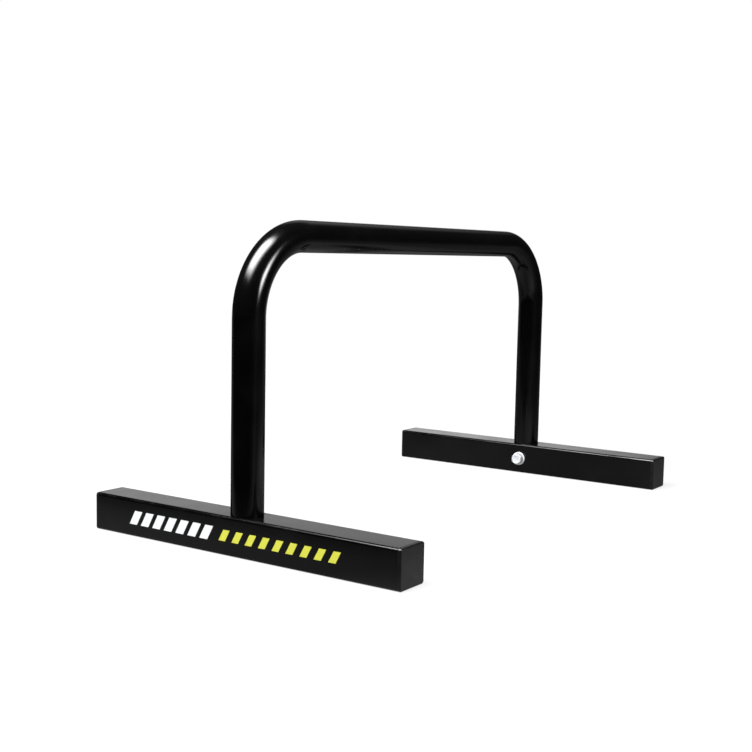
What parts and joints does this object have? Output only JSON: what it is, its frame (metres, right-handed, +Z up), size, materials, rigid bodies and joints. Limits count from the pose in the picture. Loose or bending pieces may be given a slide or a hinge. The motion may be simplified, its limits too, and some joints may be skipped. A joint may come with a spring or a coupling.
{
  "type": "parallette bar",
  "caption": "Free-standing parallette bar: a bent round steel grip tube whose legs stand in square tube feet with plastic end caps, each held by a hex bolt, for push-ups and handstands.",
  "frame": {"origin": "on the floor, midway between the two feet and midway along them", "axes": "+X along the grip from the left foot to the right foot, +Y along the feet from front to back, +Z up"},
  "size_m": [0.64, 0.393, 0.334],
  "materials": {
    "grip_paint": "gloss black powder coat",
    "foot_paint": "gloss black powder coat",
    "cap_plastic": "satin moulded black polyethylene",
    "zinc_plate": "bright zinc plate",
    "nut_steel": "plain steel, heat-tinted by its weld"
  },
  "bodies": {
    "frame": {"grip_tube": "grip_paint", "left_foot_tube": "foot_paint", "right_foot_tube": "foot_paint", "left_front_end_cap": "cap_plastic", "left_back_end_cap": "cap_plastic", "right_front_end_cap": "cap_plastic", "right_back_end_cap": "cap_plastic", "left_weld_nut": "nut_steel", "right_weld_nut": "nut_steel"},
    "left_washers": {"left_flat_washer": "zinc_plate", "left_spring_washer": "zinc_plate"},
    "left_screw": {"left_bolt": "zinc_plate"},
    "right_washers": {"right_flat_washer": "zinc_plate", "right_spring_washer": "zinc_plate"},
    "right_screw": {"right_bolt": "zinc_plate"}
  },
  "joints": [
    {"name": "left_bolt_travel", "type": "slide", "parent": "frame", "child": "left_washers", "axis": [1, 0, 0], "range_m": [0, 0.01]},
    {"name": "left_bolt_turn", "type": "hinge", "parent": "left_washers", "child": "left_screw", "pos_m": [-0.28, 0, 0.02], "axis": [1, 0, 0], "range_deg": [0, 2880]},
    {"name": "right_bolt_travel", "type": "slide", "parent": "frame", "child": "right_washers", "axis": [-1, 0, 0], "range_m": [0, 0.01]},
    {"name": "right_bolt_turn", "type": "hinge", "parent": "right_washers", "child": "right_screw", "pos_m": [0.28, 0, 0.02], "axis": [-1, 0, 0], "range_deg": [0, 2880]}
  ],
  "couplings": [
    {"joint": "left_bolt_travel", "follows": "left_bolt_turn", "m_per_rad": 0.00019894},
    {"joint": "right_bolt_travel", "follows": "right_bolt_turn", "m_per_rad": 0.00019894}
  ]
}
